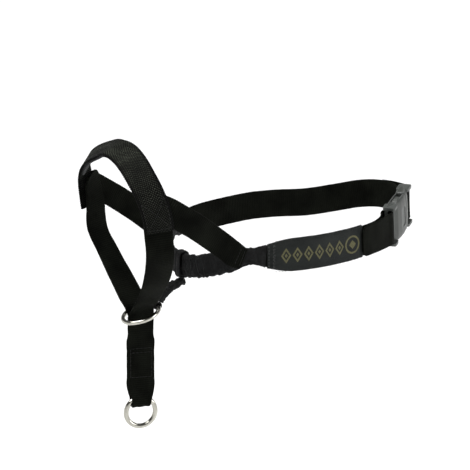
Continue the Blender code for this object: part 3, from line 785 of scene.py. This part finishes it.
def metres(point):
    return tuple(float(c) * MM for c in point)


def mirror_rows(rows):
    """The same strap on the other side of the head, run the other way so that it faces outwards."""
    return [(-x, y, z, -a, b, c, off, width) for x, y, z, a, b, c, off, width in reversed(rows)]


def across_head(left):
    """Rows from the right side over the middle to the left side."""
    return mirror_rows(left[1:]) + list(left)


def tab_row(gap, z, width):
    """A row beside the tab's middle line, at a height and a distance from its mid-plane."""
    share = (z - TAB_HINGE[2]) / (TAB_FOLD[2] - TAB_HINGE[2])
    middle = TAB_HINGE[1] + share * (TAB_FOLD[1] - TAB_HINGE[1])
    return (gap * TAB_N[0], middle + gap * TAB_N[1], z, *TAB_W, 0.0, width)


def box_seam(near, far, half, side, ends, crossed=True):
    """Lines of a sewn box: seams across the strap at its ends, one near each edge, and a cross."""
    lines = [((at, -half), (at, half)) for at in ends]
    lines += [((near, s * side), (far, s * side)) for s in (1, -1)]
    if crossed:
        lines += [((near, -s * half), (far, s * half)) for s in (1, -1)]
    return lines


def sew(name, strap, lines, body="halter", height=THREAD_RISE, slot="webbing", **thread):
    dress(stitches(name, strap, lines, height, **thread), THREAD, body=body)


# Noseband


def rib_relief(u, x):
    """Raised herringbone ribs of the noseband."""
    zigzag = RIB_STRIPE - np.abs((x + 4 * RIB_STRIPE) % (2 * RIB_STRIPE) - RIB_STRIPE)
    slant = (u + RIB_SLOPE * zigzag) / RIB_PITCH
    return 0.14 * np.abs(np.sin(pi * slant)) + 0.05 * wobble(u, 6.0, 11)


def plain_lift(seed, size=0.14):
    """A slow unevenness of a strap's surface."""
    return lambda u, x: size * (wobble(u, 17.0, seed) + 0.6 * np.sin(x / 5.0 + 2 * wobble(u, 23.0, seed + 1)))


def plain_edge(seed, size=0.16):
    """A slow unevenness of a strap's edges, with the marks of its weft."""
    return lambda u, side: size * wobble(u, 7.0, seed) * side + 0.05 * np.sin(u * 3.4)


def build_noseband():
    strap = Strap(across_head(BRIDGE))

    def edge(u, side):
        scallop = 0.42 * np.abs(np.sin(pi * u / RIB_PITCH)) - 0.2
        return np.where(side < 0, scallop + 0.12 * wobble(u, 5.0, 3), 0.08 * wobble(u, 8.0, 4))

    web = ribbon("noseband_web", strap, step=0.36, edge=edge, lift=plain_lift(5, 0.1),
                 relief=rib_relief, across=44, corners=(0.8, 0.8))
    dress(web, ribbed_material(strap.length), ["nose_bridge_strap"])
    drop = -(WEB_THICK + LINING_THICK) / 2 - LAYER_GAP
    pad = Strap([row[:6] + (drop, LINING_WIDTH) for row in across_head(BRIDGE)[3:-3]])

    def quilt(u, x):
        return 0.16 * np.abs(np.sin(pi * u / 6.5)) + 0.1 * wobble(u, 9.0, 21) - 0.12

    lining = ribbon("noseband_lining_pad", pad, LINING_THICK, step=0.6, relief=quilt, across=24, bead=-0.15,
                    corners=(3.0, 3.0), edge=plain_edge(8, 0.2))
    dress(lining, LINING, ["nose_bridge_lining"])
    lines = []
    for near, far in ((strap.length - 2.2, strap.length - 25.0), (2.2, 25.0)):
        lines += box_seam(near, far, 8.6, 8.9, [near])
    sew("noseband_stitching", strap, lines)


def build_cheeks():
    for rows, side in ((CHEEK, "left"), (mirror_rows(CHEEK), "right")):
        strap = Strap(rows)
        seed = 31 if side == "left" else 37
        web = ribbon("cheek_web_" + side, strap, edge=plain_edge(seed), lift=plain_lift(seed + 2),
                     corners=(0.6, 0.6))
        dress(web, WEBBING, ["cheek_strap_" + side])
        end, back = (strap.length - 2.0, 4.0) if side == "left" else (2.0, -4.0)
        lines = [((end, -6.0), (end, 6.0)), ((end - back, -6.5), (end - back, 6.5))]
        sew("cheek_tack_" + side, strap, lines, length=1.9, gap=0.35)


# Side straps and lead tab


def build_lead_web():
    """One length of webbing: down the left side, through the chin ring, round the lead ring and back up."""
    top = TAB_HINGE[2] - 1.0
    fold = TAB_FOLD[2]
    side = [(TAB_HALF_GAP, top - 10.0 * k, NOSE_WIDTH) for k in range(3)]
    side += [(TAB_HALF_GAP + 0.2, top - 30.0, NOSE_WIDTH), (2.6, fold + 13.0, NOSE_WIDTH)]
    side.append((4.4, fold + 6.0, NOSE_WIDTH - 3.0))
    bend = []
    reach = TAB_FOLD_R + 0.35
    for k in range(7):
        a = pi * k / 6
        c, s = cos(a), sin(a)
        bend.append((reach * c, fold - reach * s, TAB_FOLD_WIDTH + 0.4 * c**2))
    tab = [tab_row(*row) for row in side + bend + [(-gap, z, width) for gap, z, width in reversed(side)]]
    down = SIDE + [tab_row(gap, z, STRAND_WIDTH) for z, gap in STRANDS]
    up = [tab_row(-gap, z, STRAND_WIDTH) for z, gap in reversed(STRANDS)] + mirror_rows(SIDE)
    strap = Strap(down + tab + up)
    low = strap.dist[np.argmin(strap.table[:, 2])]

    def edge(u, side):
        near = bell(u - low, 40.0)
        front = np.where(side < 0, 0.32, 0.12)
        return (0.14 + near * front) * wobble(u, 6.5, 41) + 0.05 * np.sin(u * 3.4)

    def lift(u, x):
        wave = 0.12 * wobble(u, 17.0, 43) + 0.08 * np.sin(x / 5.0)
        pinch = bell(u - low, 13.0)
        return wave * (1.0 - 0.8 * pinch) + 0.15 * pinch * np.cos(x * 0.9 + 0.4)

    web = ribbon("lead_web", strap, edge=edge, lift=lift, corners=(8.0, 8.0), across=22)
    hinge = vec(*TAB_HINGE)
    dress(web, WEBBING, replaced=["side_strap_left", "side_strap_right", "lead_tab"],
          blend=("halter", "tab", metres(hinge + vec(0, 0, 5.0)), metres(hinge - vec(0, 0, 5.0))))
    near = low - (TAB_FOLD_R * pi / 2) - (top - fold) + 6.0
    far = near + 24.0
    lines = box_seam(near, far, 8.0, 8.6, (near, near + 3.5), crossed=False) + [((far, -8.0), (far, 8.0))]
    back = [((2 * low - a, x), (2 * low - b, y)) for (a, x), (b, y) in lines]
    sew("tab_stitching", strap, lines + back, "tab")


# Neck loop


NECK_POINTS = spline(NECK_LINE + [(-x, y, z) for x, y, z in reversed(NECK_LINE[:-1])])
NECK_AT = distances(NECK_POINTS)
BUCKLE_AT = NECK_AT[BUCKLE_ROW * SPLINE_STEPS]
NECK_LENGTH = NECK_AT[-1]


def neck(at, off=0.0):
    """A point of the neck loop's middle surface, moved outwards by off."""
    point, fore, back = (vec(*[np.interp(d, NECK_AT, NECK_POINTS[:, k]) for k in range(3)])
                         for d in (at, at + 4, at - 4))
    along = unit(fore - back)
    return point + unit((along[1], -along[0], 0.0)) * off


def neck_row(at, width=NECK_WIDTH, off=0.0):
    return (*neck(at, off), 0.0, -0.065, 1.0, 0.0, width)


def neck_rows(first, last, steps, width=NECK_WIDTH):
    """Rows along the neck loop between two distances from its left end."""
    return [neck_row(first + (last - first) * i / steps, width) for i in range(steps + 1)]


BUCKLE_V = unit(neck(BUCKLE_AT + 12.0) - neck(BUCKLE_AT - 12.0)) * vec(1, 1, 0)
BUCKLE_N = unit((BUCKLE_V[1], -BUCKLE_V[0], 0.0))
BUCKLE_V = unit(unit(BUCKLE_V) + vec(0, 0, BUCKLE_RISE))
BUCKLE_W = unit(np.cross(BUCKLE_N, BUCKLE_V))
BUCKLE_O = neck(BUCKLE_AT, BUCKLE_LIFT)


def at_buckle(u, w, h):
    """A point given in the buckle's own frame."""
    return BUCKLE_O + u * BUCKLE_V + w * BUCKLE_W + h * BUCKLE_N


def wrap_row(u, h):
    return (*at_buckle(u, 0.0, h), *BUCKLE_W, 0.0, BAR_WIDTH)


def wrap_rows(sign):
    """The webbing's way round the bar at the socket (-1) or at the plug (+1)."""
    return [wrap_row(sign * (BAR_U - BAR_WRAP_R * cos(a)), BAR_H + BAR_WRAP_R * sin(a))
            for a in np.radians(range(-90, 91, 30))]


def build_neck():
    join, narrow = THROAT_JOIN
    rows = [neck_row(join, narrow)]
    rows += [neck_row(at, width - 2.0) for at, width in NAME_WIDTHS]
    rows += neck_rows(NECK_FLAT, BUCKLE_AT - 35.0, 9)
    rows += wrap_rows(-1)
    rows += [neck_row(BUCKLE_AT - at, width, off) for at, off, width in TAIL_LEFT]
    web = ribbon("neck_web_left", Strap(rows), edge=plain_edge(51), lift=plain_lift(52, 0.08),
                 corners=(0.0, 5.5), across=22)
    dress(web, WEBBING, ["neck_strap_left"])
    rows = neck_rows(BUCKLE_AT + 30.0, NECK_LENGTH - 48.0, 20)
    rows += [neck_row(NECK_LENGTH - at, width - 2.0) for at, width in reversed(NAME_WIDTHS[:-1])]
    rows.append(neck_row(NECK_LENGTH - join, narrow))
    web = ribbon("neck_web_right", Strap(rows), edge=plain_edge(55), lift=plain_lift(56, 0.1), across=20)
    still, moving = 160.0, 62.0
    dress(web, WEBBING, replaced=["neck_strap_right"],
          blend=("halter", "plug", metres(neck(BUCKLE_AT + still)), metres(neck(BUCKLE_AT + moving))))
    rows = [wrap_row(BAR_U + 3.0, BAR_H - BAR_WRAP_R - 0.3)]
    rows += wrap_rows(1)
    rows += [neck_row(BUCKLE_AT + at, width, off) for at, off, width in TAIL_RIGHT]
    strap = Strap(rows)
    web = ribbon("plug_web", strap, edge=plain_edge(58), lift=plain_lift(59, 0.06),
                 corners=(0.8, 1.2), across=22)
    dress(web, WEBBING, ["plug_web_loop"], "plug")
    near, far = strap.length - 14.0, strap.length - 2.5
    sew("plug_web_stitching", strap, box_seam(near, far, 9.5, 10.0, (near, far)), "plug")


def build_label():
    rows = [neck_row(at, width) for at, width in NAME_WIDTHS]
    rows += neck_rows(NECK_FLAT, BUCKLE_AT - 75.0, 5, NAME_WIDTHS[-1][1])
    strap = Strap(rows)

    def relief(u, x):
        gather = np.exp(-u / 9.0) * 0.5 * np.sin(x * 1.15 + 1.3 * wobble(u, 8.0, 63))
        return gather + 0.1 * wobble(u, 12.0, 61) + 0.08 * np.sin(x / 3.0 + u / 19.0)

    sleeve = ribbon("name_label", strap, NAME_THICK, edge=lambda u, side: 0.18 * wobble(u, 9.0, 64) * side,
                    relief=relief, hole=NAME_WALL, across=30, step=0.7, bead=0.22)
    dress(sleeve, label_material(strap.length), ["name_sleeve"])
    lines = [((at, -half), (at, half)) for at, half in ((1.1, 8.4), (4.6, 9.2), (5.6, 9.4))]
    seam = stitches("label_seam", strap, lines, NAME_THICK / 2 + 0.15, length=2.0, gap=0.35, radius=0.3)
    dress(seam, PALE_THREAD)
    lines = [((6.0, side * 12.4), (strap.length - 1.5, side * 12.4)) for side in (-1, 1)]
    lines += [((strap.length - 1.6, -12.0), (strap.length - 1.6, 12.0))]
    sew("label_hem", strap, lines, height=NAME_THICK / 2 + 0.12, slot="label", length=1.8, gap=0.5,
        radius=0.18)


# Throat and chin


def build_throat():
    strap = Strap(across_head(THROAT + [neck_row(21.6, 17.4, -0.2)]))

    def fill(u):
        from_end = np.minimum(u, strap.length - u)
        return 1.0 - 0.42 * bell(from_end, 5.0) - 0.25 * bell(from_end - 15.0, 6.0)

    tube = gathered("throat_ruche", strap, THROAT_THICK / 2, 0.95, 3.6, 71, fill=fill, around=64)
    dress(tube, SLEEVE, ["throat_sleeve", "throat_elastic"])
    loop = []
    half_w = THROAT_WIDTH / 2 + 1.4
    half_h = THROAT_THICK / 2 + 1.5
    for a in circle(48):
        c, s = cos(a), sin(a)
        y = THROAT[0][1] + half_h * copysign(abs(c) ** 0.5, c)
        z = THROAT[0][2] + half_w * copysign(abs(s) ** 0.5, s)
        loop.append((0.0, y, z, 1.0, 0.0, 0.0, 0.0, LINK_WIDTH - 1.0))

    def relief(u, x):
        return 0.14 * wobble(u, 3.0, 77) + 0.12 * np.sin(x * 1.6 + wobble(u, 7.0, 78))

    band = ribbon("throat_loop", Strap(loop, closed=True), 1.4, relief=relief,
                  edge=plain_edge(79, 0.35), across=20, step=0.6)
    dress(band, SLEEVE, ["link_throat_loop"])


def build_chin():
    centre = vec(*SLIP_RING_CENTRE)
    normal = unit(SLIP_RING_NORMAL)
    back = np.cross(vec(1, 0, 0), normal)
    slip = wire_ring("slip_ring_wire", centre, normal, SLIP_RING_MEAN_R, SLIP_RING_WIRE_R, 2.2)
    dress(slip, CHROME, ["slip_ring"], "chin_ring")
    loop_r, sag = 2.9, 0.3
    wire = centre + back * SLIP_RING_MEAN_R
    loop = []
    for a in circle(32):
        point = wire - back * sag + loop_r * (cos(a) * back - sin(a) * normal)
        loop.append((*point, 1.0, 0.0, 0.0, 0.0, LINK_WIDTH))

    def relief(u, x):
        return 0.1 * np.sin(x * 2.1 + 1.5 * wobble(u, 4.0, 81)) + 0.06 * wobble(u, 2.0, 82)

    band = ribbon("ring_loop", Strap(loop, closed=True), 1.0, relief=relief,
                  edge=plain_edge(83, 0.4), across=20, step=0.45, bead=0.04)
    dress(band, SLEEVE, ["link_ring_loop"], "chin_ring")
    rows = [(0.0, y, z, -1.0, 0.0, 0.0, 0.0, LINK_WIDTH) for y, z in LINK[:-1]]
    rows.append((0.0, LINK[-1][0] + 1.0, LINK[-1][1] + 0.8, -1.0, 0.0, 0.0, 0.0, LINK_WIDTH - 1.0))
    tube = gathered("link_ruche", Strap(rows), LINK_THICK / 2, 0.75, 2.9, 85, step=0.4, around=48)
    dress(tube, SLEEVE, replaced=["link_sleeve", "link_elastic"],
          blend=("halter", "chin_ring", metres((0.0, *LINK[-2])), metres((0.0, *LINK[0]))))
    ring_centre = (TAB_FOLD[0], TAB_FOLD[1], TAB_FOLD[2] + 1.6 - LEAD_RING_MEAN_R)
    lead = wire_ring("lead_ring_wire", ring_centre, TAB_N, LEAD_RING_MEAN_R, LEAD_RING_WIRE_R, 1.45)
    dress(lead, CHROME, ["lead_ring"], "lead_loop")


# Buckle


def moulding(name, rows):
    """A rounded body of the buckle through rows of u, half width, middle height and half height."""
    rows = np.asarray(rows, float)
    u = np.append(np.arange(rows[0, 0], rows[-1, 0], 0.8), rows[-1, 0])
    half_w, middle, half_h = (np.interp(u, rows[:, 0], rows[:, k])[:, None] for k in (1, 2, 3))
    around = 72
    a = 2 * pi * (np.arange(around) + 0.5) / around
    c, s = np.cos(a), np.sin(a)
    w = half_w * np.sign(c) * np.abs(c) ** 0.35
    h = middle + half_h * np.sign(s) * np.abs(s) ** 0.55
    u = u[:, None] * np.ones(around)
    return skin(name, at_buckle(u[..., None], w[..., None], h[..., None]), (u, w, np.sign(s)))


def prism(name, outline, low, high, upright=False):
    """A plate in the buckle's frame, cut to an outline of (u, w) points, or of (u, h) points if upright."""
    bm = bmesh.new()

    def side(third):
        places = (at_buckle(u, third, v) if upright else at_buckle(u, v, third) for u, v in outline)
        return [bm.verts.new(place * MM) for place in places]

    bottom, top = side(low), side(high)
    for k in range(len(outline)):
        m = (k + 1) % len(outline)
        bm.faces.new([bottom[k], bottom[m], top[m], top[k]])
    bm.faces.new(bottom)
    bm.faces.new(top)
    face_outwards(bm)
    mesh = bpy.data.meshes.new(name)
    bm.to_mesh(mesh)
    bm.free()
    return add_object(name, mesh)


def rounded_outline(low, high, corner):
    """A rectangle between two points with its corners rounded."""
    outline = []
    for side_u, side_w, first in ((1, 1, 0), (-1, 1, 90), (-1, -1, 180), (1, -1, 270)):
        u = (high[0] if side_u > 0 else low[0]) - side_u * corner
        w = (high[1] if side_w > 0 else low[1]) - side_w * corner
        for k in range(5):
            a = radians(first + 22.5 * k)
            outline.append((u + corner * cos(a), w + corner * sin(a)))
    return outline


def block(name, low, high, corner):
    """A box in the buckle's frame with rounded corners in its plan."""
    return prism(name, rounded_outline(low, high, corner), low[2], high[2])


def blocks(name, u, w, half_h, corner):
    """A block on each side of the buckle, between two distances along it and two across."""
    made = []
    for sign, side in BUCKLE_SIDES:
        low, high = sorted((sign * w[0], sign * w[1]))
        made.append(block(name + "_" + side, (u[0], low, -half_h), (u[1], high, half_h), corner))
    return made


def lugs(name, near, far):
    """Full-height cheeks at both ends of a webbing bar, round at their free end."""
    outline = rounded_outline((near, LUG_H[0]), (far, LUG_H[1]), 2.0)
    return [prism(name + "_lug_" + side, outline, *sorted((sign * LUG_W[0], sign * LUG_W[1])), upright=True)
            for sign, side in BUCKLE_SIDES]


def keep_shape(obj):
    """Make what an object's modifiers give its mesh."""
    view = bpy.context.evaluated_depsgraph_get()
    mesh = bpy.data.meshes.new_from_object(obj.evaluated_get(view))
    obj.modifiers.clear()
    obj.data = mesh


def finish_moulding(obj, cuts=(), joins=(), bevel=0.35):
    """Cut and join a moulding exactly, round its edges and keep the result as its mesh."""
    for tool, operation in [(c, "DIFFERENCE") for c in cuts] + [(j, "UNION") for j in joins]:
        mod = obj.modifiers.new(tool.name, "BOOLEAN")
        adjust(mod, operation=operation, solver="EXACT", object=tool)
    adjust(obj.modifiers.new("edges", "BEVEL"), width=bevel * MM, segments=3, limit_method="ANGLE",
           angle_limit=radians(38), use_clamp_overlap=True)
    keep_shape(obj)
    obj.data.shade_smooth()
    obj.data.set_sharp_from_angle(angle=radians(32))
    obj.modifiers.new("flat_faces", "WEIGHTED_NORMAL").keep_sharp = True
    keep_shape(obj)
    for tool in [*cuts, *joins]:
        bpy.data.objects.remove(tool)


def build_socket():
    socket = moulding("buckle_socket_shell", SOCKET_BODY)
    slot = block("socket_slot", (-22.0, -SLOT_HALF_W, -9.0), (-18.6, SLOT_HALF_W, 7.0), 0.9)
    mouth = block("socket_mouth", (-13.0, -19.0, -2.7), (8.0, 19.0, 2.7), 0.2)
    panel = block("socket_panel", (-8.0, -8.5, 5.05), (2.0, 8.5, 8.0), 2.5)
    windows = blocks("window", WINDOW_U, (9.9, 20.0), 2.6, 0.8)
    finish_moulding(socket, [slot, mouth, *windows, panel], lugs("socket", -25.8, -16.6))
    dress(socket, PLASTIC, ["buckle_socket"])


def build_plug():
    plug = moulding("buckle_plug_body", PLUG_BODY)
    slot = block("plug_slot", (18.6, -SLOT_HALF_W, -9.0), (22.0, SLOT_HALF_W, 7.0), 0.9)
    pockets = blocks("pocket", (5.0, 11.9), (7.7, 13.9), 2.6, 0.3)
    guide = block("guide", (-9.0, -GUIDE_HALF_W, -2.2), (8.0, GUIDE_HALF_W, 2.2), 1.2)
    finish_moulding(plug, [slot, *pockets], [guide, *lugs("plug", 14.0, 25.8)])
    dress(plug, PLASTIC, ["buckle_plug"], "plug")


def build_latches():
    """The plug's two spring arms, each with a ribbed pad to press and a barb at its end."""
    pad = []
    steps = 48
    for k in range(steps + 1):
        swell = 2.1 * sin(pi * k / steps) ** 0.5
        pad.append((1.6 - 15.2 * k / steps, 15.1 + swell + 0.35 * abs(sin(pi * k / 8))))
    outline = [(11.0, 9.6), (11.3, 10.7), (11.0, 11.8), (10.2, 12.4), (5.4, 12.4), (3.4, 14.2), *pad]
    outline += [(-14.4, 14.6), (-13.9, 14.0), (-12.2, 12.9), (-11.8, 10.4), (-9.0, 9.2)]
    outline += [(0.0, 9.6), (6.0, 9.2), (10.2, 9.0)]
    for sign, side in BUCKLE_SIDES:
        arm = prism("latch_prong_" + side, [(u, sign * w) for u, w in outline], -LATCH_HALF_H, LATCH_HALF_H)
        finish_moulding(arm, bevel=0.9)
        dress(arm, PLASTIC, ["latch_arm_" + side], "latch_" + side)


# Studio


def aimed(obj, azimuth, elevation, distance):
    """Stand a lamp or the camera off from the halter and turn it to face the halter."""
    a, e = radians(azimuth), radians(elevation)
    back = Vector((sin(a) * cos(e), -cos(a) * cos(e), sin(e)))
    obj.location = Vector(AIM) + back * distance
    obj.rotation_mode = "QUATERNION"
    obj.rotation_quaternion = (-back).to_track_quat("-Z", "Y")
    return obj


def build_floor():
    bm = bmesh.new()
    bmesh.ops.create_grid(bm, x_segments=8, y_segments=8, size=FLOOR_HALF)
    mesh = bpy.data.meshes.new("studio_floor")
    bm.to_mesh(mesh)
    bm.free()
    mesh.materials.append(floor_material())
    floor = add_object("studio_floor", mesh)
    floor.location = (0.0, 0.0, FLOOR_Z)


def build_surroundings():
    world = bpy.data.worlds.new("studio")
    world.use_nodes = True
    tree = world.node_tree
    sky = tree.nodes["Background"]
    sky.inputs["Color"].default_value = (1.0, 1.0, 1.0, 1.0)
    up = tree.nodes.new("ShaderNodeSeparateXYZ")
    tree.links.new(tree.nodes.new("ShaderNodeTexCoord").outputs["Generated"], up.inputs[0])
    total = tree.nodes.new("ShaderNodeMath")
    for place, span in enumerate((HORIZON, ZENITH)):
        rise = tree.nodes.new("ShaderNodeMapRange")
        for socket, value in zip(("From Min", "From Max", "To Min", "To Max"), span):
            rise.inputs[socket].default_value = value
        tree.links.new(up.outputs["Z"], rise.inputs["Value"])
        tree.links.new(rise.outputs["Result"], total.inputs[place])
    tree.links.new(total.outputs[0], sky.inputs["Strength"])
    SCENE.world = world
    SCENE.view_settings.view_transform = "Standard"


def build_lights():
    for name, (azimuth, elevation, distance, size, power) in LAMPS.items():
        data = adjust(bpy.data.lights.new(name, "AREA"), size=size, energy=power)
        aimed(add_object(name, data), azimuth, elevation, distance)
    sun = adjust(bpy.data.lights.new("sky", "SUN"), energy=SUN_POWER, angle=radians(SUN_SPREAD))
    add_object("sky", sun).rotation_euler = (*map(radians, SUN_TILT), 0.0)


def build_camera():
    data = adjust(bpy.data.cameras.new("camera"), lens=CAMERA_LENS, sensor_width=36.0, clip_start=0.05,
                  clip_end=60.0)
    camera = add_object("camera", data)
    SCENE.camera = aimed(camera, *CAMERA_PLACE)


build_floor()
build_surroundings()
build_lights()
build_camera()
WEBBING = webbing_material()
LINING = lining_material()
SLEEVE = sleeve_material()
PLASTIC = plastic_material()
CHROME = chrome_material()
THREAD = thread_material("black_thread", (0.001, 0.0011, 0.0009), (0.005, 0.0055, 0.0046))
PALE_THREAD = thread_material("grey_thread", (0.012, 0.0135, 0.0135), (0.046, 0.049, 0.047))
build_noseband()
build_cheeks()
build_lead_web()
build_neck()
build_label()
build_throat()
build_chin()
build_socket()
build_plug()
build_latches()
